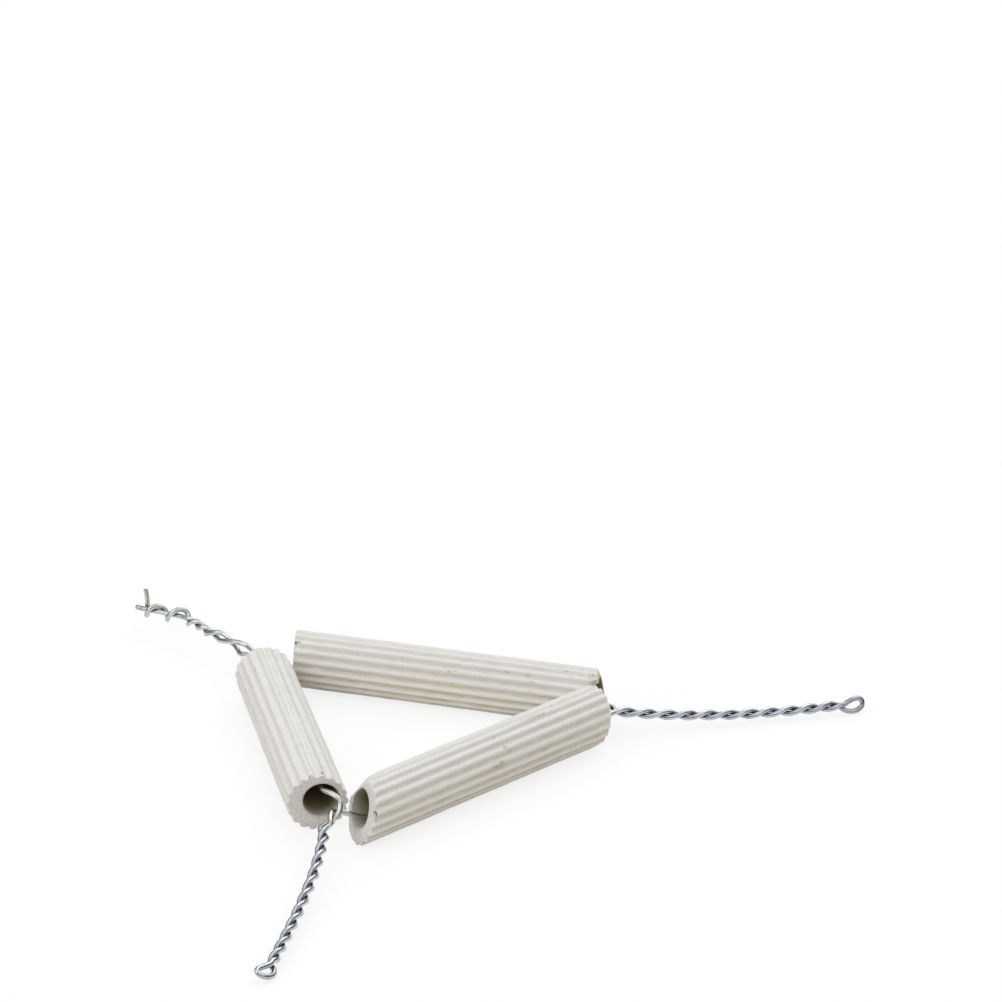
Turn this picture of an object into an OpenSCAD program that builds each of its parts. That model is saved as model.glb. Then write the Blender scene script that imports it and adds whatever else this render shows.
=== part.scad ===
// Pipe clay triangle: three fluted fired-clay tubes threaded on one galvanised
// iron wire. The wire is twisted into a tail at each corner, with a closed eye
// at the end of two of them and the wire's two free ends at the third.
// It lies flat: the plane z = 0 is the bench, and the origin is the middle of
// the triangle, under the centre of the crucible that it carries.

/* [Clay tubes] */
// Length of each clay tube, mm
tube_length = 80; // [70:1:90]
// Diameter of a tube over its ridges, mm
tube_diameter = 15.5; // [15:0.1:15.7]
// Diameter of the bore that the wire runs through, mm
bore_diameter = 9.2; // [8.8:0.1:9.6]
// Number of ridges round a tube
ridge_count = 18; // [12:1:24]
// Depth of the flutes between the ridges, mm
flute_depth = 0.65; // [0.3:0.05:0.8]

/* [Wire] */
// Diameter of the wire, mm
wire_diameter = 1.4; // [1.2:0.1:1.5]
// Half turns in the front tail and in the right tail
tail_half_turns = 11; // [9:2:13]
// Flat sides of the wire's section
wire_sides = 8; // [8:1:10]
// Rings along each half turn of a twist
twist_steps = 5; // [5:1:6]

/* [Hidden] */

// ---- Layout of the triangle ----
// Distance along a tube's axis from its nominal end to the corner point
corner_reach = 12.4;
side_length = tube_length + 2 * corner_reach;
// The ridges each side of straight down carry the tube
axis_height = tube_diameter / 2 * cos(180 / ridge_count);
corner_radius = side_length / sqrt(3);

function heading(angle) = [cos(angle), sin(angle), 0];
function corner_at(angle) = corner_radius * heading(angle);

// Direction of each corner as seen from the middle
left_corner = 150;
front_corner = -90;
right_corner = 30;

// A tube is [corner that it starts from, direction of its axis]
left_run = [left_corner, -60];
right_run = [front_corner, 60];
rear_run = [left_corner, 0];

// Point inside or beside a tube: distance from its nominal start, then
// offset to the left of its direction, then height over its axis
function in_tube(run, along, side, up) =
    corner_at(run[0]) + (corner_reach + along) * heading(run[1])
    + side * heading(run[1] + 90) + [0, 0, axis_height + up];

// Point near a corner: distance outwards, offset to the left of the outward
// direction, height over the bench
function near_corner(corner, p) =
    corner_at(corner) + p[0] * heading(corner) + p[1] * heading(corner + 90) + [0, 0, p[2]];
function near_corner_all(corner, points) = [for (p = points) near_corner(corner, p)];

// ---- Clay tubes ----
// The ends were cut by hand: each is [overrun past the nominal length,
// slope towards the tube's left, slope upwards], all small
left_ends = [[0, 0.04, 0.10], [-0.5, 0.08, 0.06]];
right_ends = [[-1.2, 0.36, 0.36], [0.4, 0.20, 0.20]];
rear_ends = [[-0.9, -0.27, 0.04], [5.9, -0.24, -0.21]];
// The bores sit a little off centre: [to the left, up]
left_bore_shift = [1.0, 0.6];
right_bore_shift = [0.2, 0.2];
rear_bore_shift = [0.3, 0.4];
// A flake is off the upper inner rim of the right tube's front end, and the
// inner side of the rear tube's right end is broken off where the right tube
// ends against it
flake_cut = [-8.4, 1.3, 1.3];
break_cut = [3.0, 0.75, 0.62];

ridge_pitch = 360 / ridge_count;
// Rounding of crests and grooves: each point is [share of the pitch from the
// crest, share of the flute depth]
flute_points = [[0, 0], [0.13, 0.11], [0.37, 0.89], [0.5, 1], [0.63, 0.89], [0.87, 0.11]];
// Longer than any overrun and slope of an end
trim_margin = 12;
cutter_size = 60;
bore_overcut = 1;

module tube_section() {
    polygon([
        for (ridge = [0:ridge_count - 1])
            for (p = flute_points)
                let (angle = (ridge + p[0]) * ridge_pitch)
                let (radius = tube_diameter / 2 - p[1] * flute_depth)
                    radius * [cos(angle), sin(angle)]
    ]);
}

// Half space past one sloped end; direction is 1 past the far end, -1 before
// the start
module end_cut(cut, along, direction) {
    tip = atan(cut[2] / sqrt(1 + cut[1] * cut[1]));
    translate([along, 0, 0])
        rotate([0, tip, -atan(cut[1])])
            translate([direction * cutter_size / 2, 0, 0])
                cube(cutter_size, center = true);
}

// A fluted tube along +X from its nominal start, trimmed at both ends
module clay_tube(ends, bore_shift) {
    blank_length = tube_length + 2 * trim_margin;
    difference() {
        translate([-trim_margin, 0, 0])
            rotate([90, 0, 90])
                linear_extrude(height = blank_length)
                    tube_section();
        translate([-trim_margin - bore_overcut, bore_shift[0], bore_shift[1]])
            rotate([0, 90, 0])
                cylinder(d = bore_diameter, h = blank_length + 2 * bore_overcut, $fn = 96);
        end_cut(ends[0], ends[0][0], -1);
        end_cut(ends[1], tube_length + ends[1][0], 1);
    }
}

// Puts a tube made along +X in its place in the triangle
module placed(run) {
    translate(in_tube(run, 0, 0, 0))
        rotate([0, 0, run[1]])
            children();
}

module left_tube() {
    color("gainsboro")
        placed(left_run)
            clay_tube(left_ends, left_bore_shift);
}

module right_tube() {
    color("gainsboro")
        placed(right_run)
            difference() {
                clay_tube(right_ends, right_bore_shift);
                end_cut(flake_cut, flake_cut[0], -1);
            }
}

module rear_tube() {
    color("gainsboro")
        placed(rear_run)
            difference() {
                clay_tube(rear_ends, rear_bore_shift);
                end_cut(break_cut, tube_length + break_cut[0], 1);
            }
}

// ---- The wire's route ----
function unit(v) = v / norm(v);
function last(list) = list[len(list) - 1];
function next_to_last(list) = list[len(list) - 2];
function reversed(list) = [for (i = [len(list) - 1:-1:0]) list[i]];
function without_first(list) = [for (i = [1:len(list) - 1]) list[i]];

// A curve through hand-set points, by cubic spans whose tangents weigh the
// two chords at each point. The first and last points only steer the ends.
bend_steps = 3;
function slope_at(a, b, c) =
    let (before = norm(b - a), after = norm(c - b))
        ((b - a) / before * after + (c - b) / after * before) / (before + after);
function span_point(p, q, from, to, t) =
    p * (2 * t ^ 3 - 3 * t ^ 2 + 1) + from * (t ^ 3 - 2 * t ^ 2 + t)
    + q * (3 * t ^ 2 - 2 * t ^ 3) + to * (t ^ 3 - t ^ 2);
function bend(points, steps = bend_steps) = [
    for (i = [1:len(points) - 3])
        let (p = points[i], q = points[i + 1], chord = norm(q - p))
        let (from = slope_at(points[i - 1], p, q) * chord)
        let (to = slope_at(p, q, points[i + 2]) * chord)
            for (step = [1:steps]) span_point(p, q, from, to, step / steps)
];

// Line of a twisted tail: a quadratic curve through three control points
function line_point(line, t) =
    line[0] * (1 - t) ^ 2 + line[1] * 2 * t * (1 - t) + line[2] * t ^ 2;
function line_heading(line, t) =
    unit((line[1] - line[0]) * (1 - t) + (line[2] - line[1]) * t);

// Unit vector square to a heading; 0 degrees is level and to its left,
// 90 degrees is up
function around(dir, angle) =
    let (level = unit(cross([0, 0, 1], dir)))
        cos(angle) * level + sin(angle) * cross(dir, level);

// The strands of a twist lie side by side with a hair between them
strand_gap = 0.12;
strand_reach = (wire_diameter + strand_gap) / 2;

// A tail is [line, hand of the twist (1 right, -1 left), angle of the
// outgoing strand at the start, tightening towards the end, points of the eye]
function tail_angle(tail, n) = tail[2] + tail[1] * 180 * n;
function twist_strand(tail, side) = [
    for (i = [0:tail_half_turns * twist_steps])
        let (n = i / twist_steps, share = n / tail_half_turns)
        let (t = share * (1 + tail[3] * (1 - share)))
            line_point(tail[0], t)
            + strand_reach * around(line_heading(tail[0], t), tail_angle(tail, n) + side)
];

// The closed eye at a tail's end lies square to the line between the two
// strands where they last cross. Its points are [distance past that crossing,
// offset towards the side that the outgoing strand takes].
front_eye = [
    [1.4, 0.2], [2.6, 0.8], [3.8, 1.5], [4.9, 2.1], [5.8, 2.0],
    [6.1, 1.1], [5.5, -0.4], [4.2, -1.3], [2.6, -1.5], [1.1, -1.0]
];
right_eye = [
    [1.2, 1.1], [2.6, 1.8], [4.0, 2.0], [5.4, 1.7], [6.5, 0.8],
    [6.6, -0.5], [5.6, -1.3], [4.1, -1.2], [2.7, -0.7], [1.3, -0.1]
];
eye_steps = 2;
function eye_points(tail) =
    let (dir = line_heading(tail[0], 1), angle = tail_angle(tail, tail_half_turns))
    let (apart = around(dir, angle), across = tail[1] * around(dir, angle + 90))
    let (spans = len(tail[4]) + 1) [
        for (i = [1:spans - 1])
            let (p = tail[4][i - 1])
                line_point(tail[0], 1) + p[0] * dir + p[1] * across
                + strand_reach * (1 - 2 * i / spans) * apart
    ];

front_tail = [
    near_corner_all(front_corner, [[-0.6, -1.0, 6.0], [17.7, 3.9, 2.9], [57.6, 6.5, 2.0]]),
    1, 246, 0.39, front_eye
];
right_tail = [
    near_corner_all(right_corner, [[-3, -1, 5.5], [23, -5, 1.7], [57.9, -4.9, 2.6]]),
    -1, 154, 0.15, right_eye
];

// ---- Left tail: the two free ends, loosely wrapped ----
// Points ten millimetres apart along its line, as near_corner takes them
loose_line = near_corner_all(left_corner, [
    [-9, -0.4, 7.0], [1, -0.4, 7.0], [11, -0.4, 6.9], [21, -0.6, 6.8],
    [31, -1.1, 7.3], [40.7, 0.8, 6.7], [50.5, 2.8, 6.0], [60, 4.8, 5.3]
]);
loose_spacing = 10;
// One row for each quarter turn: [distance out, reach of the wrapping strand,
// reach of the straighter strand], the reaches in wire diameters
quarter_turns = [
    [5.0, 1.21, 0.75], [10.3, 0.54, 0.54], [14.5, 0.90, 0.55], [18.3, 0.54, 0.54],
    [20.5, 0.64, 0.54], [22.6, 0.54, 0.54], [24.6, 0.57, 0.54], [26.7, 0.54, 0.54],
    [28.9, 0.90, 0.25], [30.5, 1.00, 0.10], [32.6, 1.43, 0.00], [35.0, 1.10, 0.00],
    [37.0, 1.20, 0.00], [38.8, 1.05, 0.00], [40.6, 1.07, 0.00], [42.9, 1.10, 0.00],
    [44.6, 1.20, 0.00], [46.0, 1.10, 0.00]
];
wrap_steps = 3;
// Its heading is taken over this much of the line, each way
sight_length = 0.5;
// The straighter strand is a plain run from this quarter turn on
straight_from = 10;
// Angle of the wrapping strand at the first row
wrap_start_angle = -54;

function between_rows(k, column, share) =
    let (row = min(floor(k), len(quarter_turns) - 2))
        quarter_turns[row][column] * (1 - share) + quarter_turns[row + 1][column] * share;
function distance_at(k) = between_rows(k, 0, k - min(floor(k), len(quarter_turns) - 2));
function reach_at(k, column) = between_rows(k, column, (1 - cos(180 * (k - floor(k)))) / 2);
function loose_point(distance) =
    let (place = distance / loose_spacing + 1, i = floor(place), t = place - i)
    let (p = loose_line[i], q = loose_line[i + 1], chord = norm(q - p))
        span_point(p, q, slope_at(loose_line[i - 1], p, q) * chord,
            slope_at(p, q, loose_line[i + 2]) * chord, t);
function loose_strand(column, side, until) = [
    for (i = [0:until * wrap_steps])
        let (k = i / wrap_steps, distance = distance_at(k))
        let (before = loose_point(distance - sight_length), after = loose_point(distance + sight_length))
        let (dir = unit(after - before))
            loose_point(distance)
            + reach_at(k, column) * wire_diameter
            * around(dir, wrap_start_angle + side - 90 * k)
];
wrapping_strand = reversed(loose_strand(1, 0, len(quarter_turns) - 1));
straight_strand = loose_strand(2, 180, straight_from);

// The free end of the wrapping strand stands up past the last turn
upturned_end = near_corner_all(left_corner, [[48.0, 0.6, 13.5], [47.8, 0.5, 11.7], [47.2, 0.5, 8.8]]);
// The free end of the straighter strand runs on along the tail
plain_end = near_corner_all(left_corner, [[40.7, 0.8, 6.7], [49.5, 2.6, 6.0], [51, 2.9, 6.0]]);

front_out = without_first(twist_strand(front_tail, 0));
front_back = reversed(twist_strand(front_tail, 180));
right_out = twist_strand(right_tail, 0);
right_back = reversed(twist_strand(right_tail, 180));

// A tail's eye, from its outgoing strand round to its returning strand
function eye_between(outgoing, tail, returning) = bend(concat(
    [next_to_last(outgoing), last(outgoing)],
    eye_points(tail),
    [returning[0], returning[1]]
), eye_steps);

// From the left tail through the left tube and over the hook at the front
first_run = bend(concat(
    [next_to_last(wrapping_strand), last(wrapping_strand)],
    near_corner_all(left_corner, [[1.8, 0.3, 6.2]]),
    [in_tube(left_run, 2, 0.3, -1.3), in_tube(left_run, 77, 0.7, 3.6)],
    near_corner_all(front_corner, [
        [-11.4, -5.2, 11.4], [-10.4, -2.1, 11.0], [-9.2, -0.2, 10.4], [-7.9, 0.6, 9.6],
        [-6.7, 0.7, 8.5], [-5.5, 0.2, 7.5], [-4.5, -0.9, 6.6], [-3.2, -2.1, 5.9],
        [-2.0, -2.5, 5.5], [-0.9, -2.0, 5.1]
    ]),
    [front_out[0], front_out[1]]
));
// From the front tail through the right tube
second_run = bend(concat(
    [next_to_last(front_back), last(front_back)],
    near_corner_all(front_corner, [
        [-1.1, 0.1, 7.3], [-3.3, -0.4, 8.2], [-5.5, -0.9, 8.5], [-7.2, -0.8, 8.2],
        [-8.8, 0.7, 7.2], [-10.3, 2.9, 6.2], [-12.1, 5.2, 5.0]
    ]),
    [in_tube(right_run, 8, -0.6, -3.2), in_tube(right_run, 24, 0, -3.4), in_tube(right_run, 78, 0.4, -1.4)],
    near_corner_all(right_corner, [[-10.1, -5.1, 6.1], [-6.4, -3.1, 5.5]]),
    [right_out[0], right_out[1]]
));
// From the right tail through the rear tube
third_run = bend(concat(
    [next_to_last(right_back), last(right_back)],
    near_corner_all(right_corner, [[-3.4, 1.2, 5.6], [-6.4, 3.7, 5.3]]),
    [in_tube(rear_run, 76, 0.2, -2.3), in_tube(rear_run, 20, 0.2, -3.3), in_tube(rear_run, 2, 0.2, -3.2)],
    near_corner_all(left_corner, [[-5.4, -3.5, 4.9], [0.6, -0.8, 7.0]]),
    [straight_strand[0], straight_strand[1]]
));

wire_route = concat(
    bend([upturned_end[0], upturned_end[1], upturned_end[2], wrapping_strand[0], wrapping_strand[1]]),
    without_first(wrapping_strand),
    first_run,
    without_first(front_out),
    eye_between(front_out, front_tail, front_back),
    without_first(front_back),
    second_run,
    without_first(right_out),
    eye_between(right_out, right_tail, right_back),
    without_first(right_back),
    third_run,
    without_first(straight_strand),
    bend(concat([next_to_last(straight_strand), last(straight_strand)], plain_end))
);

// ---- The wire as one swept solid ----
route_length = len(wire_route);
function route_heading(i) =
    unit(wire_route[min(i + 1, route_length - 1)] - wire_route[max(i - 1, 0)]);
function squared(v, dir) = unit(v - (v * dir) * dir);
// The reference direction is carried from ring to ring without twisting
ring_sides = [
    for (i = 0, side = squared([0, 1, 0], route_heading(0));
         i < route_length;
         i = i + 1, side = squared(side, route_heading(min(i, route_length - 1))))
        side
];
function wire_ring(i) =
    let (dir = route_heading(i), side = ring_sides[i], up = cross(dir, side)) [
        for (corner = [0:wire_sides - 1])
            let (angle = 360 * corner / wire_sides)
                wire_route[i] + wire_diameter / 2 * (cos(angle) * side + sin(angle) * up)
    ];

module wire() {
    ring_points = [for (i = [0:route_length - 1]) each wire_ring(i)];
    start_face = [[for (corner = [0:wire_sides - 1]) corner]];
    end_base = (route_length - 1) * wire_sides;
    end_face = [[for (corner = [wire_sides - 1:-1:0]) end_base + corner]];
    side_faces = [
        for (i = [0:route_length - 2], corner = [0:wire_sides - 1])
            let (next = (corner + 1) % wire_sides)
            let (a = i * wire_sides + corner, b = i * wire_sides + next)
                each [[a, a + wire_sides, b + wire_sides], [a, b + wire_sides, b]]
    ];
    color("silver")
        polyhedron(points = ring_points, faces = concat(start_face, side_faces, end_face), convexity = 20);
}

left_tube();
right_tube();
rear_tube();
wire();
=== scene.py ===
import bpy
import math
import random
import numpy as np
from mathutils import Matrix, Vector, noise


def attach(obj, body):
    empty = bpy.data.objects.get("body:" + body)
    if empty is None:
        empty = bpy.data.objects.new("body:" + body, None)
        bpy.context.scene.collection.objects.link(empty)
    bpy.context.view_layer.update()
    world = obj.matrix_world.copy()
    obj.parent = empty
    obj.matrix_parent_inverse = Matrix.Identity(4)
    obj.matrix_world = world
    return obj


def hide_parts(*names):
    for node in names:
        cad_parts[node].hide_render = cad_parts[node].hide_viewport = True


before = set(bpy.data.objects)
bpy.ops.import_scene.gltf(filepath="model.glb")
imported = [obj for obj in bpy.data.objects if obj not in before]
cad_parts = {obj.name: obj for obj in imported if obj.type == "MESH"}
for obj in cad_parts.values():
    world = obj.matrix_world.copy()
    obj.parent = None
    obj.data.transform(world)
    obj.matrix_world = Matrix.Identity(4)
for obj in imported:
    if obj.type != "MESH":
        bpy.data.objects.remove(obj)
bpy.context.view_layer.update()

# ---------------------------------------------------------------------------
# The three clay tubes
# Unglazed pipe clay, pressed wet through a die that leaves a round bore and
# eighteen ridges, cut to length by hand and fired. They hang loose on the wire,
# end to end in a flat triangle, and the crucible stands between them.
# ---------------------------------------------------------------------------

MM = 0.001

tube_length = 80.0
tube_radius = 7.75
bore_radius = 4.6
ridge_count = 18
flute_depth = 0.65
flank_steepness = 0.05
axis_height = tube_radius * math.cos(math.pi / ridge_count)
corner_reach = 12.4
corner_radius = (tube_length + 2 * corner_reach) / math.sqrt(3)

# Direction of each corner as seen from the middle of the triangle, in degrees
left_corner, front_corner, right_corner = 150, -90, 30


def heading(angle):
    a = math.radians(angle)
    return np.array([math.cos(a), math.sin(a), 0.0])


def in_tube(run, along, side, up):
    """Point beside a tube's axis, from its nominal start; side is to its left."""
    corner, angle = run
    return (corner_radius * heading(corner) + (corner_reach + along) * heading(angle)
            + side * heading(angle + 90) + np.array([0, 0, axis_height + up]))


def smooth_least(a, b, softness):
    """The smaller of two radii, with the edge between them rounded off."""
    mix = np.clip(0.5 + 0.5 * (b - a) / softness, 0, 1)
    return b * (1 - mix) + a * mix - softness * mix * (1 - mix)


def pressed_radius(angle):
    """Radius over the ridges and flutes that the die leaves."""
    share = angle / (2 * math.pi / ridge_count)
    wave = (0.5 - 0.5 * np.cos(2 * math.pi * share)
            - flank_steepness * np.sin(4 * math.pi * np.abs((share + 0.5) % 1 - 0.5)))
    return tube_radius - flute_depth * wave


columns = ridge_count * 16
column_angle = np.arange(columns) * 2 * math.pi / columns


def off_column(angle):
    """How far each column lies round the tube from an angle, in degrees."""
    return (np.degrees(column_angle) - angle + 180) % 360 - 180


# The cut rims are rubbed round, and unevenly, each in its own way. Their rows
# lie at these distances from the cut.
rim_rows = np.array([0.0, 0.06, 0.14, 0.24, 0.36, 0.5, 0.68, 0.9, 1.2, 1.6])
rim_softness, rim_unevenness, rim_fineness, rims_apart = 0.12, 0.55, 2.2, 9
body_rows, face_rows, bore_rows = 150, 9, 26
# The bore has rounded lips, a row at each of these turns. It is smoky brown with
# painted shade, less so near its mouths, and the knife's drag reaches this far in.
bore_lip = 0.3
lip_turns = (0, 30, 60, 90)
lip_smoke_and_shade, lip_cut = 0.3, 0.6
mouth_shade_easing, shade_easing_depth = 0.65, 3
drag_depth = 5


def clay_skin(ends, bore_shift, mouth_pull, rims, chips, wander):
    """Lofts one closed skin: outside, far cut end, bore, near cut end.

    Gives its points as rows x columns x (along, side, up), for each row its
    smokiness with painted shade, how freshly cut it is, and how many rows are on the outside.
    """
    side, up = np.cos(column_angle), np.sin(column_angle)
    pressed = pressed_radius(column_angle)
    rows, marks = [], []

    def end_plane(end, h, z):
        cuts = [over + to_side * h + to_top * z for over, to_side, to_top in ends[end]]
        return np.maximum.reduce(cuts) if end == 0 else tube_length + np.minimum.reduce(cuts)

    def rim_radius(end, away):
        """Radius of the rubbed and chipped rim, at a distance from its cut."""
        rub = np.full(columns, rims[end])
        for i, a in enumerate(column_angle):
            on_rim = Vector((rim_fineness * math.cos(a), rim_fineness * math.sin(a), end * rims_apart))
            rub[i] *= 1 + rim_unevenness * noise.noise(on_rim + wander)
        for chip_end, angle, spread, size in chips:
            if chip_end == end:
                rub = rub + size * np.exp(-(off_column(angle) / spread) ** 2)
        reach = np.clip((rub - away) / rub, 0, 1)
        return smooth_least(pressed, tube_radius - rub * (1 - np.sqrt(1 - reach ** 2)), rim_softness)

    def bore_circle(end, inset, radius):
        h = bore_shift[0] + mouth_pull[end] * math.exp(-(inset / drag_depth) ** 2) + radius * side
        return h, bore_shift[1] + radius * up

    def add_row(along, h, z, smoke_and_shade, cut):
        rows.append(np.stack([along, h, z], 1))
        marks.append((smoke_and_shade, cut))

    def add_rim(end, distances):
        for away in distances:
            radius = rim_radius(end, away)
            h, z = radius * side, radius * up
            add_row(end_plane(end, h, z) + (away if end == 0 else -away), h, z, 0.0, 0.0)

    def add_body():
        h, z = pressed * side, pressed * up
        first, last = end_plane(0, h, z), end_plane(1, h, z)
        inset = rim_rows[-1]
        for i in range(body_rows):
            share = (i + 1) / (body_rows + 1)
            add_row(first + inset + (last - first - 2 * inset) * share, h, z, 0.0, 0.0)

    def add_cut_face(end, outward):
        """Rows between the bore's lip and the outer rim."""
        rim = rim_radius(end, 0.0)
        lip_h, lip_z = bore_circle(end, 0, bore_radius + bore_lip)
        shares = np.linspace(0, 1, face_rows + 2)[1:-1]
        for share in (shares if outward else shares[::-1]):
            h = lip_h * (1 - share) + rim * side * share
            z = lip_z * (1 - share) + rim * up * share
            add_row(end_plane(end, h, z), h, z, 0.0, 1.0)

    def add_lip(end, turns):
        for turn in turns:
            inset = bore_lip * (1 - math.cos(math.radians(turn)))
            radius = bore_radius + bore_lip * (1 - math.sin(math.radians(turn)))
            h, z = bore_circle(end, inset, radius)
            add_row(end_plane(end, h, z) + (inset if end == 0 else -inset), h, z, lip_smoke_and_shade, lip_cut)

    def add_bore():
        for i in range(1, bore_rows):
            share = 0.5 + 0.5 * math.cos(math.pi * i / bore_rows)
            inset = bore_lip + tube_length * min(share, 1 - share)
            h, z = bore_circle(0 if share < 0.5 else 1, inset, bore_radius)
            first, last = end_plane(0, h, z) + bore_lip, end_plane(1, h, z) - bore_lip
            # Painted shade: the bore darkens away from its mouths
            smoke_and_shade = 1 - mouth_shade_easing * math.exp(-(inset / shade_easing_depth) ** 2)
            add_row(first + (last - first) * share, h, z, smoke_and_shade, 0.0)

    add_rim(0, rim_rows)
    add_body()
    add_rim(1, rim_rows[::-1])
    outside_rows = len(rows)
    add_cut_face(1, outward=False)
    add_lip(1, lip_turns)
    add_bore()
    add_lip(0, lip_turns[::-1])
    add_cut_face(0, outward=True)
    return np.array(rows), marks, outside_rows


# How fine the unevenness is along the tube and across it, and how far it
# swells: long waves from the press, drag lines from the die, lumps in the clay
long_waves, long_swell = (0.12, 0.35), 0.07
drag_lines, drag_swell = (0.30, 2.6), 0.035
lumps, lump_swell = (1.3, 1.3), 0.03
bore_unevenness = 0.5
cut_roughness = 0.05
# Each tube takes its unevenness from another place, within this range
wander_range = 50
# A faint buff stain lies all over, with painted shade in patches in the flutes;
# both are weaker on the tube's upper side. The crests between the flutes get a
# painted highlight, also weaker on the upper side
upper_side_unshaded = 0.78
patch_share, patch_drag, patch_wave = 0.8, 0.9, 0.5
stain_everywhere, in_flute_stain_and_shade, flute_narrowing = 0.10, 1.75, 1.7
crest_highlight_strength = 1.5


def uneven(place, fineness, wander):
    """Between -1 and 1, wandering over the clay."""
    along, h, z = place
    lengthwise, crosswise = fineness
    return noise.noise(Vector((along * lengthwise, h * crosswise, z * crosswise)) + wander)


def roughen(skin, marks, outside_rows, flute_stain_and_shade, wander):
    """Unevens the skin in place. Gives each point's buff stain with painted shade, and its painted crest
    highlight.
    """
    brown_and_shade, crest_highlight = np.zeros(skin.shape[:2]), np.zeros(skin.shape[:2])
    flute = np.maximum(0, tube_radius - pressed_radius(column_angle)) / flute_depth
    # past these rows lie the start's cut face and the outer part of its lip
    rows_before_start = outside_rows + face_rows + len(lip_turns) + bore_rows
    for r, (smoke_and_shade, cut) in enumerate(marks):
        unevenness = 1 if smoke_and_shade < 0.5 else bore_unevenness
        for c in range(columns):
            place = tuple(skin[r, c])
            long_wave = uneven(place, long_waves, wander)
            drag = uneven(place, drag_lines, wander)
            lump = uneven(place, lumps, wander)
            h, z = place[1:]
            reach = math.hypot(h, z)
            if r < outside_rows:
                # Painted shade in the flutes and a painted highlight on the crests, both weaker towards
                # the tube's upper side
                underside_share = 1 - upper_side_unshaded * max(0, z / reach)
                patches = max(0, patch_share + patch_drag * drag + patch_wave * long_wave)
                in_flutes = in_flute_stain_and_shade * patches * flute[c] ** flute_narrowing
                brown_and_shade[r, c] = flute_stain_and_shade * underside_share * (stain_everywhere + in_flutes)
                # Painted highlight: the crests between the flutes are whitened
                crest_highlight[r, c] = crest_highlight_strength * flute_stain_and_shade * underside_share * (1 - flute[c]) ** 2
            swell = (long_swell * long_wave + drag_swell * drag + lump_swell * lump) * (1 - cut)
            skin[r, c, 1] += swell * h / reach * unevenness
            skin[r, c, 2] += swell * z / reach * unevenness
            if cut > 0.5:
                inward = 1 if r > rows_before_start else -1
                skin[r, c, 0] += (cut_roughness * lump + cut_roughness * drag) * inward
    return brown_and_shade, crest_highlight


def spot(skin, along, angle, half_length, half_width):
    """Falls from 1 at a spot on the outside to 0 a little way off it."""
    reach = np.hypot(skin[:, :, 1], skin[:, :, 2])
    off_side = np.radians(off_column(angle))[None, :] * tube_radius / half_width
    off_along = (skin[:, :, 0] - along) / half_length
    sunk = np.maximum(0, tube_radius - flute_depth - reach) / (half_length + half_width)
    return np.exp(-(off_side ** 2 + off_along ** 2 + sunk ** 2))


# Small pits all over: least and most distance along, angle, half length, half
# width and depth. A pit this deep is as dark as one gets.
small_pit_count = 46
small_pit_limits = [(2, 78), (0, 360), (0.2, 0.6), (0.12, 0.24), (0.04, 0.16)]
darkest_depth = 0.35


def sink_pits(skin, pits):
    """Sinks pits into the skin in place. Gives how dark each point is."""
    dark = np.zeros(skin.shape[:2])
    for along, angle, half_length, half_width, depth in pits:
        hollow = spot(skin, along, angle, half_length, half_width)
        reach = np.hypot(skin[:, :, 1], skin[:, :, 2])
        for across in (1, 2):
            skin[:, :, across] -= depth * hollow * skin[:, :, across] / reach
        dark = np.maximum(dark, hollow * min(1, depth / darkest_depth))
    return dark


def marked_mesh(name, verts, faces, marks):
    """A smooth mesh from points in millimetres; a mark is one value per point."""
    mesh = bpy.data.meshes.new(name)
    mesh.from_pydata((verts * MM).tolist(), [], faces)
    mesh.polygons.foreach_set("use_smooth", [True] * len(faces))
    for label, values in marks.items():
        layer = mesh.attributes.new(label, "FLOAT", "POINT")
        layer.data.foreach_set("value", np.asarray(values, dtype=np.float32))
    return mesh


def put_in_scene(name, data):
    made = bpy.data.objects.new(name, data)
    bpy.context.scene.collection.objects.link(made)
    return made


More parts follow.
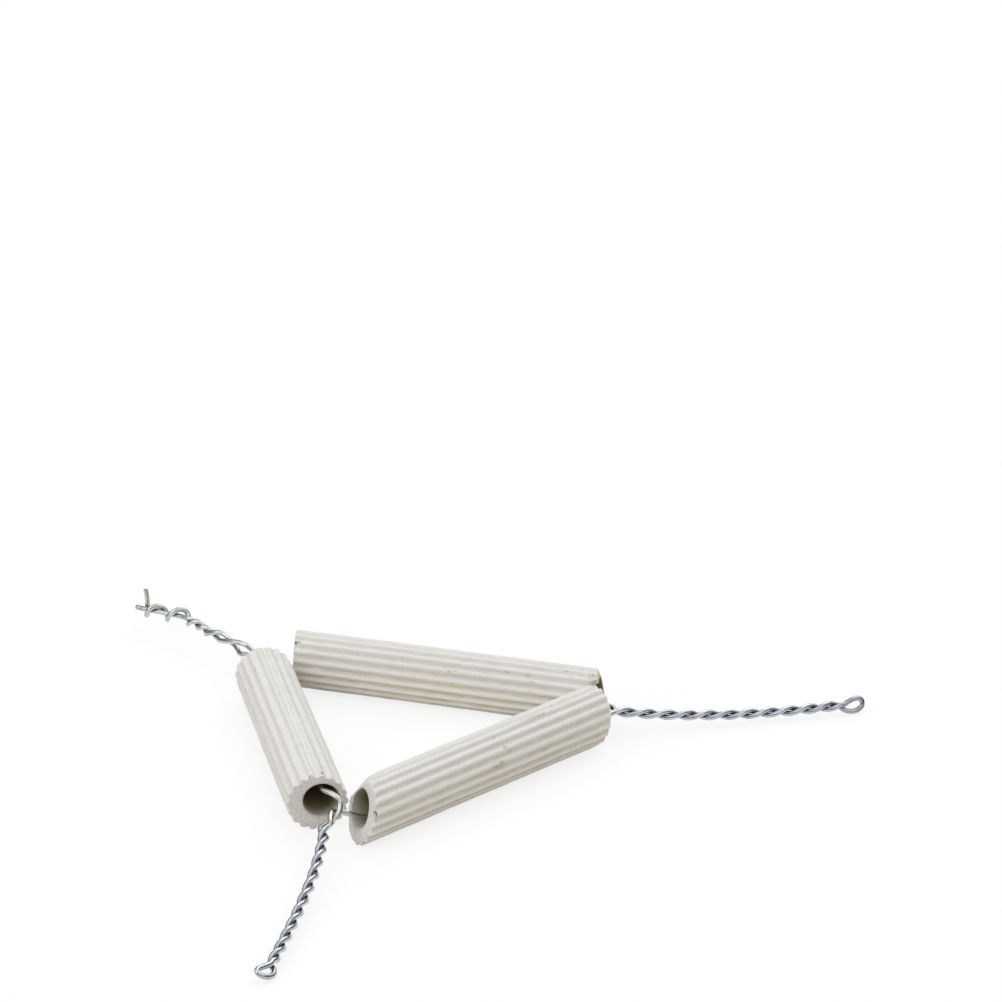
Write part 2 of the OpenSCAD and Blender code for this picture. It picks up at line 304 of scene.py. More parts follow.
def clay_tube(name, node, run, ends, bore_shift, mouth_pull, rims, chips, pits,
              flute_stain_and_shade, stains, shade_spots, seed):
    """Makes one tube and fits it over its node.

    ends: the cuts at each end, as overrun past the nominal length, slope to
    the left, slope upwards. mouth_pull: how far the knife dragged each mouth
    of the bore to the left.
    rims: how far each cut rim is rubbed round. chips: end, angle, spread, size.
    pits: distance along, angle, half length, half width, depth.
    flute_stain_and_shade: how strong the flutes' buff stain and painted shade
    are. stains: distance along, angle, half length, half width, strength.
    shade_spots: painted shade spots, each a distance along, offset to the left,
    offset upwards, reach, strength.
    """
    grain = random.Random(seed)
    wander = Vector([grain.uniform(-wander_range, wander_range) for _ in range(3)])
    skin, marks, outside_rows = clay_skin(ends, bore_shift, mouth_pull, rims, chips, wander)
    brown_and_shade, crest_highlight = roughen(skin, marks, outside_rows, flute_stain_and_shade, wander)
    small_pits = [[grain.uniform(*limits) for limits in small_pit_limits]
                  for _ in range(small_pit_count)]
    dark = sink_pits(skin, pits + small_pits)
    # Painted shade spots, darkened as the pits are
    for along, to_left, upwards, spread, strength in shade_spots:
        off = np.linalg.norm(skin - np.array([along, to_left, upwards]), axis=2) / spread
        dark = np.maximum(dark, strength * np.exp(-off ** 2))
    for along, angle, half_length, half_width, strength in stains:
        brown_and_shade = brown_and_shade + strength * spot(skin, along, angle, half_length, half_width)

    ahead, left = heading(run[1]), heading(run[1] + 90)
    verts = (in_tube(run, 0, 0, 0) + skin[:, :, :1] * ahead + skin[:, :, 1:2] * left
             + skin[:, :, 2:] * np.array([0, 0, 1.0]))
    verts = verts.reshape(-1, 3)
    verts[:, 2] = np.maximum(verts[:, 2], 0)
    row_count = len(skin)
    faces = []
    for r in range(row_count):
        s = (r + 1) % row_count
        for c in range(columns):
            d = (c + 1) % columns
            faces.append((r * columns + c, r * columns + d, s * columns + d, s * columns + c))
    smoke_and_shade_rows, cut_rows = zip(*marks)
    mesh = marked_mesh(name, verts, faces, {
        "pit_and_shade": dark.reshape(-1), "brown_and_shade": np.clip(brown_and_shade, 0, 1).reshape(-1), "crest_highlight": crest_highlight.reshape(-1),
        "bore": np.repeat(smoke_and_shade_rows, columns), "cut": np.repeat(cut_rows, columns)})

    # the skin unrolled, in metres: along the tube, and round it with a seam
    ids = np.array(faces).reshape(-1)
    at_seam = np.repeat(np.arange(len(faces)) % columns, 4) == columns - 1
    turns = (ids % columns) / columns + np.tile([0, 1, 1, 0], len(faces)) * at_seam
    unrolled = np.stack([skin[:, :, 0].reshape(-1)[ids] * MM, turns * 2 * math.pi * tube_radius * MM], 1)
    uv = mesh.uv_layers.new(name="pressed")
    uv.data.foreach_set("uv", unrolled.reshape(-1))
    mesh.validate()
    mesh.materials.append(fired_clay)
    piece = put_in_scene(name, mesh)
    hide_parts(node)
    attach(piece, "root")


def new_finish(name):
    made = bpy.data.materials.new(name)
    made.use_nodes = True
    made.node_tree.nodes.clear()
    return made


def node_in(tree, kind, **settings):
    made = tree.nodes.new(kind)
    for key, value in settings.items():
        setattr(made, key, value)
    return made


def mark(tree, label):
    """What the mesh says of each point, such as how dark its pits are."""
    return node_in(tree, "ShaderNodeAttribute", attribute_name=label).outputs["Fac"]


def drawn_out(tree, places, lengthwise):
    """Places on the unrolled skin, with what lies there drawn out lengthwise."""
    made = node_in(tree, "ShaderNodeMapping")
    made.inputs["Scale"].default_value = (lengthwise, 1.0, 1.0)
    tree.links.new(places.outputs["UV"], made.inputs["Vector"])
    return made.outputs["Vector"]


def clouds(tree, vector, scale, detail, roughness=0.55):
    made = node_in(tree, "ShaderNodeTexNoise")
    made.inputs["Scale"].default_value = scale
    made.inputs["Detail"].default_value = detail
    made.inputs["Roughness"].default_value = roughness
    tree.links.new(vector, made.inputs["Vector"])
    return made.outputs["Fac"]


def graded(tree, value, low, high, to_low=0.0, to_high=1.0):
    """Takes a value between low and high to one between to_low and to_high."""
    made = node_in(tree, "ShaderNodeMapRange")
    tree.links.new(value, made.inputs["Value"])
    ranges = {"From Min": low, "From Max": high, "To Min": to_low, "To Max": to_high}
    for label, amount in ranges.items():
        made.inputs[label].default_value = amount
    return made.outputs["Result"]


def blotches(tree, vector, scale, detail, low, high, most=1.0, roughness=0.55):
    """Patches that fade in where the clouds rise from low to high."""
    return graded(tree, clouds(tree, vector, scale, detail, roughness), low, high, 0.0, most)


def stained(tree, amount, under, over):
    """Mix two colours; each is a colour socket or a tuple."""
    made = node_in(tree, "ShaderNodeMix", data_type="RGBA")
    tree.links.new(amount, made.inputs["Factor"])
    for label, colour in (("A", under), ("B", over)):
        socket = [s for s in made.inputs if s.name == label and s.type == "RGBA"][0]
        if isinstance(colour, tuple):
            socket.default_value = colour
        else:
            tree.links.new(colour, socket)
    return [s for s in made.outputs if s.type == "RGBA"][0]


def layered(tree, colour, layers):
    """Lays colours over the first one in turn, each by its own amount."""
    for amount, over in layers:
        colour = stained(tree, amount, colour, over)
    return colour


def relief(tree, height, strength, distance, under=None):
    """Fine relief from a height in clouds, over another relief if there is one."""
    made = node_in(tree, "ShaderNodeBump")
    made.inputs["Strength"].default_value = strength
    made.inputs["Distance"].default_value = distance
    tree.links.new(height, made.inputs["Height"])
    if under is not None:
        tree.links.new(under, made.inputs["Normal"])
    return made.outputs["Normal"]


def surface(tree, colour, roughness, normal):
    """Joins colour, roughness and relief in the shader that the finish shows."""
    shader = node_in(tree, "ShaderNodeBsdfPrincipled")
    for label, value in (("Base Color", colour), ("Roughness", roughness), ("Normal", normal)):
        tree.links.new(value, shader.inputs[label])
    out = node_in(tree, "ShaderNodeOutputMaterial")
    tree.links.new(shader.outputs["BSDF"], out.inputs["Surface"])
    return shader


# Fired clay: chalky off-white with faint buff clouds, a buff stain with painted
# shade in the flutes, a painted highlight on the crests, smoky brown with painted
# shade in the bore, dark pits and spots of painted shade, and a sandy grain
chalk = (0.778, 0.768, 0.751, 1)
# White for the crumbs and for the crests' painted highlight
white_chalk = (0.860, 0.855, 0.845, 1)
buff = (0.700, 0.678, 0.632, 1)
# Buff for the flutes' stain and their painted shade
fluted_buff_and_shade = (0.600, 0.535, 0.390, 1)
cut_clay = (0.820, 0.812, 0.815, 1)
sandy_brown = (0.650, 0.620, 0.590, 1)
# Smoky brown, which also carries the bore's painted shade
smoked_and_shaded = (0.360, 0.300, 0.165, 1)
# Dark for the pits and for the painted shade spots
pit_and_shade_brown = (0.210, 0.170, 0.100, 1)
speck_brown = (0.420, 0.360, 0.250, 1)

fired_clay = new_finish("fired_clay")
clay = fired_clay.node_tree
clay_places = node_in(clay, "ShaderNodeTexCoord")
in_clay = clay_places.outputs["Object"]
on_skin = drawn_out(clay, clay_places, 0.18)
cloud = blotches(clay, in_clay, 240, 6, 0.44, 0.76, 0.55)
streak = blotches(clay, on_skin, 1500, 5, 0.50, 0.74, 0.5)
grit = blotches(clay, in_clay, 2800, 4, 0.58, 0.72, 0.30)
sand = blotches(clay, in_clay, 1700, 5, 0.40, 0.64, 1.0, 0.7)
mottle = blotches(clay, in_clay, 1300, 4, 0.40, 0.66, 0.50, 0.7)
crumbs = blotches(clay, in_clay, 1900, 3, 0.56, 0.70, 0.65, 0.7)
sanded_cut = stained(clay, sand, sandy_brown, cut_clay)
clay_colour = layered(clay, chalk, [
    (cloud, buff), (mottle, buff), (crumbs, white_chalk), (streak, buff),
    # Painted highlight on the crests, then buff stain with painted shade in the flutes
    (mark(clay, "crest_highlight"), white_chalk), (mark(clay, "brown_and_shade"), fluted_buff_and_shade), (grit, speck_brown),
    # Cut faces, then the bore's smoky brown with painted shade
    (mark(clay, "cut"), sanded_cut), (mark(clay, "bore"), smoked_and_shaded),
    # Dark pits and painted shade spots
    (graded(clay, mark(clay, "pit_and_shade"), 0.05, 0.6), pit_and_shade_brown)])

grain_height = clouds(clay, in_clay, 1800, 6, 0.65)
grain_relief = relief(clay, grain_height, 0.75, 0.00024)
scrape_relief = relief(clay, clouds(clay, on_skin, 1500, 4), 0.35, 0.00010, grain_relief)
clay_roughness = graded(clay, grain_height, 0.3, 0.7, 0.82, 0.97)
clay_shader = surface(clay, clay_colour, clay_roughness, scrape_relief)
clay_shader.inputs["Specular IOR Level"].default_value = 0.25

# A tube is the corner that it starts from and the direction of its axis
left_run, right_run, rear_run = (left_corner, -60), (front_corner, 60), (left_corner, 0)

clay_tube("left_clay_tube", "left_tube", left_run,
          ends=[[(0, 0.04, 0.10)], [(-0.5, 0.08, 0.06)]], bore_shift=(1.0, 0.6), mouth_pull=(0, 0),
          rims=(0.72, 0.12), chips=[(1, 60, 7, 0.30), (1, 128, 6, 0.22), (0, 80, 10, 0.3)],
          pits=[(12.2, 123, 0.28, 0.20, 0.30), (4.3, -174, 0.3, 0.3, 0.25), (78.4, 78, 0.40, 0.45, 0.30),
                (79.2, 104, 0.35, 0.5, 0.20), (50.4, 116, 0.6, 0.25, 0.08), (51.6, 121, 0.4, 0.25, 0.09),
                (52.6, 114, 0.5, 0.22, 0.10), (53.6, 119, 0.7, 0.22, 0.07), (55.0, 116, 0.4, 0.2, 0.08)],
          flute_stain_and_shade=0.06, stains=[(78.6, 78, 0.8, 0.9, 0.5)], shade_spots=[], seed=11)
clay_tube("right_clay_tube", "right_tube", right_run,
          ends=[[(-1.2, 0.36, 0.36), (-8.4, 1.3, 1.3)], [(0.4, 0.20, 0.20)]], bore_shift=(0.2, 0.2),
          mouth_pull=(1.0, 0), rims=(0.75, 0.45), chips=[(0, 70, 24, 0.6), (0, -38, 7, 0.5)],
          pits=[(-2.45, 158, 0.17, 0.50, 0.32), (-2.65, 164, 0.17, 0.50, 0.36),
                (55.2, 98, 0.8, 0.38, 0.12), (56.6, 100, 0.6, 0.34, 0.14), (58.2, 101, 0.8, 0.38, 0.12),
                (59.8, 102, 0.6, 0.34, 0.13), (42.4, 137, 0.8, 0.34, 0.13), (43.6, 147, 0.6, 0.30, 0.09),
                (38.0, 167, 0.7, 0.36, 0.13), (39.8, 161, 0.8, 0.34, 0.13), (70.1, 57, 0.5, 0.3, 0.12)],
          flute_stain_and_shade=0.42, stains=[(57.5, 100, 4.5, 0.9, 0.35), (38.8, 164, 3.0, 0.8, 0.3)],
          shade_spots=[], seed=23)
clay_tube("rear_clay_tube", "rear_tube", rear_run,
          ends=[[(-0.9, -0.27, 0.04)], [(5.9, -0.24, -0.21), (3.0, 0.75, 0.62)]], bore_shift=(0.3, 0.4),
          mouth_pull=(0, 0), rims=(0.65, 0.60), chips=[(0, -10, 8, 0.5), (1, 40, 9, 0.8)],
          pits=[(0.5, 121, 0.85, 0.50, 0.45), (1.7, 118, 0.6, 0.35, 0.20), (0.5, 135, 0.35, 0.35, 0.25),
                (45.0, 141, 0.8, 0.26, 0.10), (46.6, 138, 0.7, 0.3, 0.10), (48.2, 115, 0.5, 0.25, 0.12),
                (60.6, 125, 0.8, 0.24, 0.11), (66.4, 126, 0.6, 0.26, 0.11), (68.0, 141, 1.0, 0.26, 0.10),
                (74.3, 98, 0.5, 0.24, 0.14), (76.2, 103, 0.8, 0.22, 0.13), (78.0, 117, 0.9, 0.24, 0.13),
                (83.6, 104, 0.5, 0.4, 0.10), (83.0, 112, 0.4, 0.5, 0.10)],
          flute_stain_and_shade=0.42, stains=[(1.5, 186, 5.0, 4.0, 0.30), (0.6, 161, 2.5, 0.6, 0.45),
                                    (83.5, 124, 1.8, 2.4, 0.35)],
          # Painted shade spots by the bore on the far cut face
          shade_spots=[(84.0, 4.3, 2.4, 2.8, 0.9), (84.6, -0.6, 5.6, 0.9, 0.5)], seed=37)

# ---------------------------------------------------------------------------
# The wire
# One length of galvanised iron wire. It runs through all three tubes, is doubled
# and twisted into a tail with a closed eye at the front and right corners, and
# its two free ends are wrapped round each other at the left corner.
# ---------------------------------------------------------------------------

wire_radius = 0.70
half_turns = 11
twist_steps = 14
# The strands of a twist lie side by side with a hair between them
strand_gap = 0.12
strand_reach = wire_radius + strand_gap / 2
bend_steps, eye_steps = 10, 7
# A long straight run has a step for each of these lengths, up to a number
long_run, long_step, most_steps = 4, 0.6, 40


def near_corner(corner, points):
    """Points given as distance outwards, offset to the left, height over the bench."""
    return [corner_radius * heading(corner) + out * heading(corner)
            + off * heading(corner + 90) + np.array([0, 0, height]) for out, off, height in points]


def unit(v):
    return v / np.linalg.norm(v)


def slope_at(a, b, c):
    before, after = np.linalg.norm(b - a), np.linalg.norm(c - b)
    return ((b - a) / before * after + (c - b) / after * before) / (before + after)


def span_point(p, q, start, stop, t):
    return (p * (2 * t**3 - 3 * t**2 + 1) + start * (t**3 - 2 * t**2 + t)
            + q * (3 * t**2 - 2 * t**3) + stop * (t**3 - t**2))


def bend(points, steps=bend_steps):
    """Bends the wire through the given points; the first and last only steer it."""
    made = []
    for i in range(1, len(points) - 2):
        p, q = points[i], points[i + 1]
        chord = np.linalg.norm(q - p)
        start = slope_at(points[i - 1], p, q) * chord
        stop = slope_at(p, q, points[i + 2]) * chord
        count = min(most_steps, max(steps, int(chord / long_step))) if chord > long_run else steps
        made += [span_point(p, q, start, stop, s / count) for s in range(1, count + 1)]
    return made


def line_point(line, t):
    """Point on the middle line of a twisted tail, a curve through three points."""
    return line[0] * (1 - t)**2 + line[1] * 2 * t * (1 - t) + line[2] * t**2


def line_heading(line, t):
    return unit((line[1] - line[0]) * (1 - t) + (line[2] - line[1]) * t)


def around(way, angle):
    """Unit vector square to a heading: 0 is level and to its left, 90 is up."""
    level = unit(np.cross([0, 0, 1.0], way))
    a = math.radians(angle)
    return math.cos(a) * level + math.sin(a) * np.cross(way, level)


# A tail has a middle line, the hand of its twist, the angle at which the
# outgoing strand starts, a tightening towards its end, and an eye: points past
# the last crossing and off to the outgoing strand's side
front_tail = dict(
    line=near_corner(front_corner, [(-0.6, -1.0, 6.0), (17.7, 3.9, 2.9), (57.6, 6.5, 2.0)]),
    hand=1, start_angle=246, tightening=0.39,
    eye=[(1.4, 0.2), (2.6, 0.8), (3.8, 1.5), (4.9, 2.1), (5.8, 2.0),
         (6.1, 1.1), (5.5, -0.4), (4.2, -1.3), (2.6, -1.5), (1.1, -1.0)])
right_tail = dict(
    line=near_corner(right_corner, [(-3, -1, 5.5), (23, -5, 1.7), (57.9, -4.9, 2.6)]),
    hand=-1, start_angle=154, tightening=0.15,
    eye=[(1.2, 1.1), (2.6, 1.8), (4.0, 2.0), (5.4, 1.7), (6.5, 0.8),
         (6.6, -0.5), (5.6, -1.3), (4.1, -1.2), (2.7, -0.7), (1.3, -0.1)])


def strand_angle(tail, turns):
    return tail["start_angle"] + tail["hand"] * 180 * turns


def twist_strand(tail, side):
    line = tail["line"]
    made = []
    for i in range(half_turns * twist_steps + 1):
        n = i / twist_steps
        share = n / half_turns
        t = share * (1 + tail["tightening"] * (1 - share))
        made.append(line_point(line, t)
                    + strand_reach * around(line_heading(line, t), strand_angle(tail, n) + side))
    return made


def eye_loop(outgoing, tail, returning):
    """The closed eye: it lies square to the line between the two strands."""
    way = line_heading(tail["line"], 1)
    angle = strand_angle(tail, half_turns)
    apart, across = around(way, angle), tail["hand"] * around(way, angle + 90)
    spans = len(tail["eye"]) + 1
    middle = [line_point(tail["line"], 1) + out * way + off * across
              + strand_reach * (1 - 2 * (i + 1) / spans) * apart
              for i, (out, off) in enumerate(tail["eye"])]
    return bend(outgoing[-2:] + middle + returning[:2], eye_steps)


# The loose tail: its line about every ten millimetres, then one row for each
# quarter turn: distance out, reach of the wrapping strand and of the straighter
# one. The straighter one is a plain run from a quarter turn on.
loose_line = near_corner(left_corner, [
    (-9, -0.4, 7.0), (1, -0.4, 7.0), (11, -0.4, 6.9), (21, -0.6, 6.8),
    (31, -1.1, 7.3), (40.7, 0.8, 6.7), (50.5, 2.8, 6.0), (60, 4.8, 5.3)])
loose_spacing = 10
quarter_turns = [
    (5.0, 1.21, 0.75), (10.3, 0.54, 0.54), (14.5, 0.90, 0.55), (18.3, 0.54, 0.54),
    (20.5, 0.64, 0.54), (22.6, 0.54, 0.54), (24.6, 0.57, 0.54), (26.7, 0.54, 0.54),
    (28.9, 0.90, 0.25), (30.5, 1.00, 0.10), (32.6, 1.43, 0.00), (35.0, 1.10, 0.00),
    (37.0, 1.20, 0.00), (38.8, 1.05, 0.00), (40.6, 1.07, 0.00), (42.9, 1.10, 0.00),
    (44.6, 1.20, 0.00), (46.0, 1.10, 0.00)]
wrap_steps, straight_from, wrap_start_angle = 10, 10, -54
# Its heading is taken over this much of the line, each way
sight_length = 0.5


def loose_point(distance):
    place = distance / loose_spacing + 1
    i = int(place)
    p, q = loose_line[i], loose_line[i + 1]
    chord = np.linalg.norm(q - p)
    return span_point(p, q, slope_at(loose_line[i - 1], p, q) * chord,
                      slope_at(p, q, loose_line[i + 2]) * chord, place - i)


def loose_strand(column, side, until):
    made = []
    for i in range(until * wrap_steps + 1):
        k = i / wrap_steps
        row = min(int(k), len(quarter_turns) - 2)
        here, there = quarter_turns[row], quarter_turns[row + 1]
        distance = here[0] + (there[0] - here[0]) * (k - row)
        ease = (1 - math.cos(math.pi * (k - row))) / 2
        reach = here[column] + (there[column] - here[column]) * ease
        way = unit(loose_point(distance + sight_length) - loose_point(distance - sight_length))
        made.append(loose_point(distance) + reach * 2 * wire_radius
                    * around(way, wrap_start_angle + side - 90 * k))
    return made


wrapping = loose_strand(1, 0, len(quarter_turns) - 1)[::-1]
straight = loose_strand(2, 180, straight_from)
# The wire from the hook runs into the front twist these steps past its start
hook_joins = 3
front_out, front_back = twist_strand(front_tail, 0)[hook_joins:], twist_strand(front_tail, 180)[::-1]
right_out, right_back = twist_strand(right_tail, 0), twist_strand(right_tail, 180)[::-1]

upturned_end = near_corner(left_corner, [(48.0, 0.6, 13.5), (47.8, 0.5, 11.7), (47.2, 0.5, 8.8)])
plain_end = near_corner(left_corner, [(40.7, 0.8, 6.7), (49.5, 2.6, 6.0), (51, 2.9, 6.0)])

# From the left tail through the left tube and over the hook at the front, then
# from the front tail through the right tube, and from the right tail through
# the rear tube
first_run = bend(wrapping[-2:] + near_corner(left_corner, [(1.8, 0.3, 6.2)])
                 + [in_tube(left_run, 2, 0.3, -1.3), in_tube(left_run, 77, 0.7, 3.6)]
                 + near_corner(front_corner, [
                     (-11.4, -5.2, 11.4), (-10.4, -2.1, 11.0), (-9.2, -0.2, 10.4), (-7.9, 0.6, 9.6),
                     (-6.7, 0.7, 8.5), (-5.5, 0.2, 7.5), (-4.5, -0.9, 6.6), (-3.2, -2.1, 5.9),
                     (-2.0, -2.5, 5.5), (-0.9, -2.0, 5.1)])
                 + front_out[:2])
second_run = bend(front_back[-2:]
                  + near_corner(front_corner, [
                      (-1.1, 0.1, 7.3), (-3.3, -0.4, 8.2), (-5.5, -0.9, 8.5), (-7.2, -0.8, 8.2),
                      (-8.8, 0.7, 7.2), (-10.3, 2.9, 6.2), (-12.1, 5.2, 5.0)])
                  + [in_tube(right_run, 8, -0.6, -3.2), in_tube(right_run, 24, 0, -3.4),
                     in_tube(right_run, 78, 0.4, -1.4)]
                  + near_corner(right_corner, [(-10.1, -5.1, 6.1), (-6.4, -3.1, 5.5)])
                  + right_out[:2])
third_run = bend(right_back[-2:] + near_corner(right_corner, [(-3.4, 1.2, 5.6), (-6.4, 3.7, 5.3)])
                 + [in_tube(rear_run, 76, 0.2, -2.3), in_tube(rear_run, 20, 0.2, -3.3),
                    in_tube(rear_run, 2, 0.2, -3.2)]
                 + near_corner(left_corner, [(-5.4, -3.5, 4.9), (0.6, -0.8, 7.0)])
                 + straight[:2])

# Each stretch, how blue its zinc is (bluest where the twisting worked it), how
# strongly painted shade darkens it where other turns lie close, and how much
# painted shade darkens it all over. The short strand over the right corner gets
# more painted shade than the rest of its run.
short_strand = 18
stretches = [
    (bend(upturned_end + wrapping[:2]), 0.0, 0.5, 0), (wrapping[1:], 0.35, 0.5, 0),
    (first_run, 0.30, 0.4, 0), (front_out[1:], 1.0, 1.0, 0),
    (eye_loop(front_out, front_tail, front_back), 1.0, 0.7, 0.16),
    (front_back[1:], 1.0, 1.0, 0), (second_run, 0.35, 0.3, 0), (right_out[1:], 1.0, 0.85, 0),
    (eye_loop(right_out, right_tail, right_back), 1.0, 0.9, 0.26), (right_back[1:], 1.0, 0.85, 0),
    (third_run[:short_strand], 0.8, 0.3, 0.38), (third_run[short_strand:], 0.6, 0.3, 0),
    (straight[1:], 0.8, 0.5, 0), (bend(straight[-2:] + plain_end), 1.0, 0.5, 0)]
route = np.array([p for stretch in stretches for p in stretch[0]])
along_route = np.concatenate([[0], np.cumsum(np.linalg.norm(np.diff(route, axis=0), axis=1))])

wire_sides = 20
# The wire's ends are nipped off: a flat face, closed by a tiny ring in its
# middle, and a chamfer, so that each end adds two rings to those of the route
nip_middle, nip_face, nip_chamfer = 0.05, 0.86, 0.12
nip_rings = 2


def wire_ring(centre, side, up, radius):
    return [centre + radius * (math.cos(a) * side + math.sin(a) * up)
            for a in np.arange(wire_sides) * 2 * math.pi / wire_sides]


def nipped_end(centre, way, side, up, inward):
    """Rings from the middle of a nipped end's face out to the full wire."""
    return [wire_ring(centre, side, up, nip_middle), wire_ring(centre, side, up, wire_radius * nip_face),
            wire_ring(centre + inward * nip_chamfer * way, side, up, wire_radius)]


ways = np.gradient(route, axis=0)
ways /= np.linalg.norm(ways, axis=1, keepdims=True)
stations = []
side = np.array([0, 1.0, 0])
for centre, way in zip(route, ways):
    side = unit(side - side.dot(way) * way)
    stations.append((centre, way, side, np.cross(way, side)))
rings = (nipped_end(*stations[0], 1)
         + [wire_ring(centre, side, up, wire_radius) for centre, way, side, up in stations[1:-1]]
         + nipped_end(*stations[-1], -1)[::-1])
wire_verts = np.array(rings).reshape(-1, 3)
ring_places = np.pad(along_route, nip_rings, mode="edge")


# A stretch's values ease into the next one's over this many points each way
ease_points = 7


def on_wire(column):
    """One of the stretches' values, for each point of the wire's skin."""
    values = np.array([stretch[column] for stretch in stretches for _ in stretch[0]])
    window = 2 * ease_points + 1
    eased = np.convolve(np.pad(values, ease_points, mode="edge"), np.ones(window) / window, mode="valid")
    return np.repeat(np.pad(eased, nip_rings, mode="edge"), wire_sides)


# The second and third are strengths of painted shade
blueness, nip_shade_strength, painted_dimness = on_wire(1), on_wire(2), on_wire(3)

# Painted shade: each spot is darkened by how close it lies to another turn of
# the same wire, where the light doesn't reach. What lies less than one
# bend away along the wire isn't another turn. It is worked out some at a time.
nip_shade_reach, one_bend, far_off, at_a_time = 0.95, 3.2, 9.0, 600
vertex_places = np.repeat(ring_places, wire_sides)
nearest = np.full(len(wire_verts), far_off)
for start in range(0, len(wire_verts), at_a_time):
    some = slice(start, start + at_a_time)
    between = np.linalg.norm(wire_verts[some, None, :] - route[None, ::2, :], axis=2)
    between[np.abs(vertex_places[some, None] - along_route[None, ::2]) < one_bend] = far_off
    nearest[some] = between.min(axis=1)
nip_shade = np.clip(1 - (nearest - wire_radius) / nip_shade_reach, 0, 1) * nip_shade_strength
# Painted shade all over some stretches
nip_shade = np.maximum(nip_shade, painted_dimness)

# Painted shade darkens the wire inside the bores, and for the left tube a little
# past its mouths, and in the right tube the wire is dusted with clay: each run,
# how far in from its mouths that starts, the painted shade and the dust
hidden_runs = [(left_run, -3.6, 0.50, 0), (right_run, -3, 0.12, 0.40), (rear_run, 4, 0.36, 0)]
fade_length = 3
dusty = np.zeros(len(wire_verts))
for run, shown, smoke_and_shade, dust in hidden_runs:
    from_start = wire_verts - in_tube(run, 0, 0, 0)
    along_tube = from_start @ heading(run[1])
    off_axis = np.linalg.norm(from_start - along_tube[:, None] * heading(run[1]), axis=1)
    inside = np.minimum(along_tube, tube_length - along_tube) - shown
    covered = np.clip(inside / fade_length, 0, 1) * (off_axis < tube_radius)
    # Painted shade inside the bores
    nip_shade = np.maximum(nip_shade, smoke_and_shade * covered)
    dusty = np.maximum(dusty, dust * covered)

last_ring = (len(rings) - 1) * wire_sides
wire_faces = [tuple(range(wire_sides))[::-1], tuple(range(last_ring, last_ring + wire_sides))]
for i in range(len(rings) - 1):
    for j in range(wire_sides):
        k = (j + 1) % wire_sides
        wire_faces.append((i * wire_sides + j, i * wire_sides + k,
                           (i + 1) * wire_sides + k, (i + 1) * wire_sides + j))
wire_marks = {"tail": blueness, "nip_shade": nip_shade, "dust": dusty}
wire_mesh = marked_mesh("twisted_wire", wire_verts, wire_faces, wire_marks)

# the skin unrolled, in metres: along the wire, and round it with a seam
wire_uv = wire_mesh.uv_layers.new(name="drawn")
for polygon in wire_mesh.polygons:
    columns_here = [v % wire_sides for v in polygon.vertices]
    at_seam = max(columns_here) == wire_sides - 1 and min(columns_here) == 0
    for loop, vertex in zip(polygon.loop_indices, polygon.vertices):
        column = vertex % wire_sides
        if at_seam and column == 0:
            column = wire_sides
        wire_uv.data[loop].uv = (ring_places[vertex // wire_sides] * MM,
                                 column / wire_sides * 2 * math.pi * wire_radius * MM)
wire_mesh.validate()

# Zinc on drawn iron: bright, with fine lines along the wire, a greenish yellow
# cast where it is new and bluer where the twisting worked it, dull in patches,
# painted shade down to nearly black where turns lie close and in the bores, and
# pale and matt under clay dust
yellow_zinc = (0.550, 0.585, 0.510, 1)
blue_zinc = (0.550, 0.580, 0.630, 1)
dull_zinc = (0.270, 0.285, 0.290, 1)
# Near-black for painted shade
shaded_zinc_black = (0.030, 0.030, 0.034, 1)
clay_dust = (0.380, 0.375, 0.285, 1)

galvanised_wire = new_finish("galvanised_wire")
zinc = galvanised_wire.node_tree
zinc_places = node_in(zinc, "ShaderNodeTexCoord")
zinc_patches = blotches(zinc, zinc_places.outputs["Object"], 420, 5, 0.46, 0.72, 0.65)
dust_mark = mark(zinc, "dust")
zinc_colour = layered(zinc, yellow_zinc, [
    (mark(zinc, "tail"), blue_zinc), (zinc_patches, dull_zinc),
    # Painted shade, down to nearly black
    (graded(zinc, mark(zinc, "nip_shade"), 0.10, 0.66, 0.0, 0.94), shaded_zinc_black), (dust_mark, clay_dust)])
die_lines = clouds(zinc, drawn_out(zinc, zinc_places, 0.05), 5200, 3)
zinc_roughness = graded(zinc, die_lines, 0.3, 0.7, 0.16, 0.30)
zinc_shader = surface(zinc, zinc_colour, zinc_roughness, relief(zinc, die_lines, 0.25, 0.00004))
zinc.links.new(graded(zinc, dust_mark, 0, 1, 1.0, 0.2), zinc_shader.inputs["Metallic"])
wire_mesh.materials.append(galvanised_wire)
twisted_wire = put_in_scene("twisted_wire", wire_mesh)
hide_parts("wire")
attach(twisted_wire, "root")

# ---------------------------------------------------------------------------
# The bench, the lamps and the camera
# A plain white bench top with a warm bounce, three large soft lamps, and a room
# that is bright overhead and dark at its walls. The camera stands back with a
# long lens.
# ---------------------------------------------------------------------------

# Lengths and places in this section are in metres
bench_reach = 6
bench_corners = [(x * bench_reach, y * bench_reach, 0) for x, y in ((-1, -1), (1, -1), (1, 1), (-1, 1))]
floor_mesh = bpy.data.meshes.new("floor")
floor_mesh.from_pydata(bench_corners, [], [(0, 1, 2, 3)])
floor = put_in_scene("floor", floor_mesh)

# The bench is warm where the light bounces off it. To the eye and in mirrors
# it is a colder white, with most of its brightness its own.
bounced_white = (0.87, 0.84, 0.765, 1)
shown_white = (0.93, 0.93, 0.93, 1)
glow_white = (1, 1, 1, 1)
glow_share = 0.80

white_bench = new_finish("white_bench")
bench = white_bench.node_tree


def matte(colour):
    made = node_in(bench, "ShaderNodeBsdfDiffuse")
    made.inputs["Color"].default_value = colour
    return made.outputs["BSDF"]


def either(first, second):
    """Mixes two shaders; the share of the second is set on the node."""
    made = node_in(bench, "ShaderNodeMixShader")
    bench.links.new(first, made.inputs[1])
    bench.links.new(second, made.inputs[2])
    return made


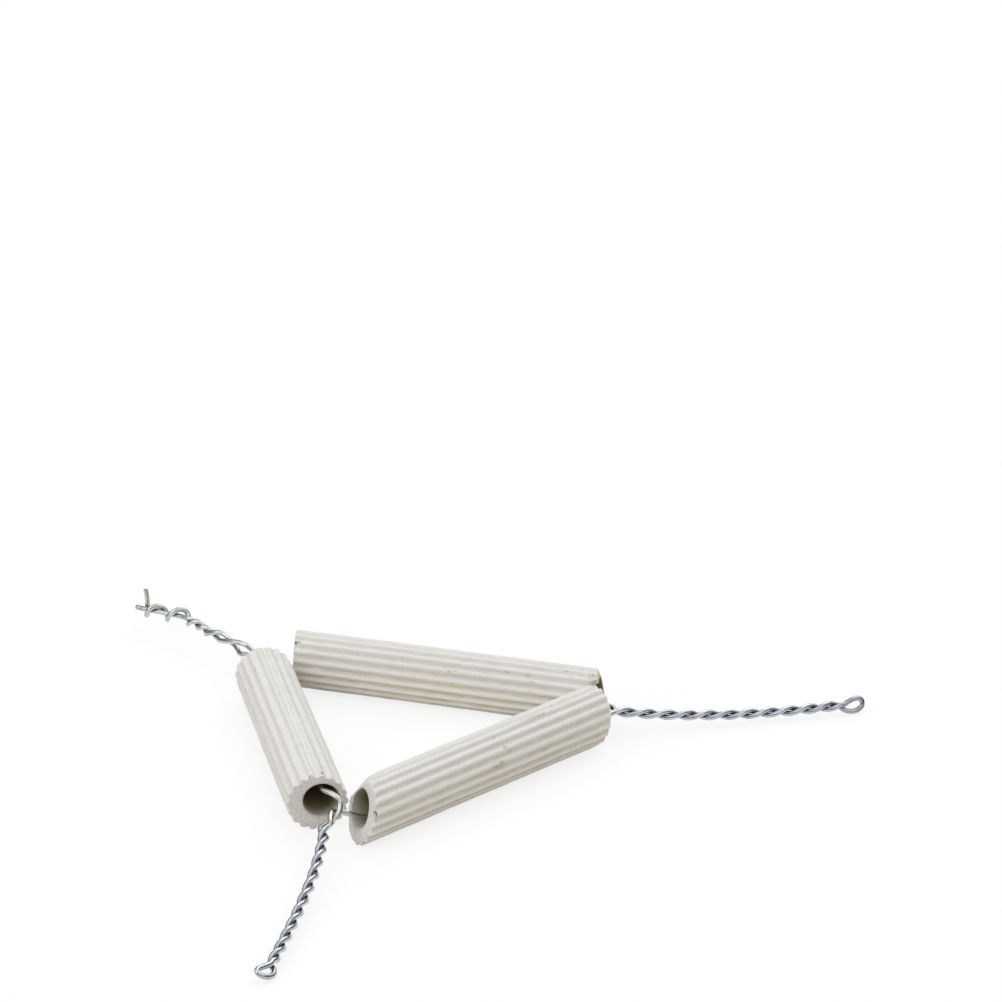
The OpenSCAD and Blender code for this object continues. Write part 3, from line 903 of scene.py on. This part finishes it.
glow = node_in(bench, "ShaderNodeEmission")
glow.inputs["Color"].default_value = glow_white
glow.inputs["Strength"].default_value = 1.0
shown_bench = either(matte(shown_white), glow.outputs["Emission"])
shown_bench.inputs["Fac"].default_value = glow_share
light_path = node_in(bench, "ShaderNodeLightPath")
seen_or_mirrored = node_in(bench, "ShaderNodeMath", operation="MAXIMUM")
bench.links.new(light_path.outputs["Is Camera Ray"], seen_or_mirrored.inputs[0])
bench.links.new(light_path.outputs["Is Glossy Ray"], seen_or_mirrored.inputs[1])
bench_shader = either(matte(bounced_white), shown_bench.outputs["Shader"])
bench.links.new(seen_or_mirrored.outputs["Value"], bench_shader.inputs["Fac"])
bench_out = node_in(bench, "ShaderNodeOutputMaterial")
bench.links.new(bench_shader.outputs["Shader"], bench_out.inputs["Surface"])
floor_mesh.materials.append(white_bench)

# The room's light rises from its walls' to its ceiling's between two heights,
# as shares of straight up
wall_light, ceiling_light = 0.05, 1.02
wall_top, ceiling_edge = 0.30, 0.80

lit_room = bpy.data.worlds.new("room")
bpy.context.scene.world = lit_room
lit_room.use_nodes = True
room = lit_room.node_tree
room.nodes.clear()
room_height = node_in(room, "ShaderNodeSeparateXYZ")
room.links.new(node_in(room, "ShaderNodeTexCoord").outputs["Generated"], room_height.inputs["Vector"])
room_light = node_in(room, "ShaderNodeBackground")
room_light.inputs["Color"].default_value = (1.0, 1.0, 1.0, 1)
room_strength = graded(room, room_height.outputs["Z"], wall_top, ceiling_edge, wall_light, ceiling_light)
room.links.new(room_strength, room_light.inputs["Strength"])
room_out = node_in(room, "ShaderNodeOutputWorld")
room.links.new(room_light.outputs["Background"], room_out.inputs["Surface"])

lamp_width = 1.3


def lamp(name, place, watts):
    """A round soft lamp that points at the middle of the bench."""
    data = bpy.data.lights.new(name, "AREA")
    data.shape = "DISK"
    data.size = lamp_width
    data.energy = watts
    made = put_in_scene(name, data)
    made.location = place
    made.rotation_euler = (Vector((0, 0, 0)) - Vector(place)).to_track_quat("-Z", "Y").to_euler()


lamp("front_left_lamp", (-0.9, -0.8, 0.7), 6.2)
lamp("front_right_lamp", (0.75, -0.85, 0.75), 2.4)
lamp("back_lamp", (0.1, 1.05, 0.95), 6.0)

camera_data = bpy.data.cameras.new("camera")
camera_data.sensor_width = 36
camera_data.lens = 120.08
camera_data.clip_end = 100
camera = put_in_scene("camera", camera_data)
# Where the camera stands, the way it looks, and its right and upward sides
camera_place = Vector((0.2453, -0.7500, 0.3895))
look = Vector((-0.26, 0.8899, -0.3749))
right = Vector((0.9591, 0.2829, 0.0064))
top = Vector((-0.1118, 0.3579, 0.9271))
turned = Matrix((right, top, -look)).transposed().to_4x4()
turned.translation = camera_place
camera.matrix_world = turned
bpy.context.scene.camera = camera
bpy.context.scene.view_settings.view_transform = "Standard"
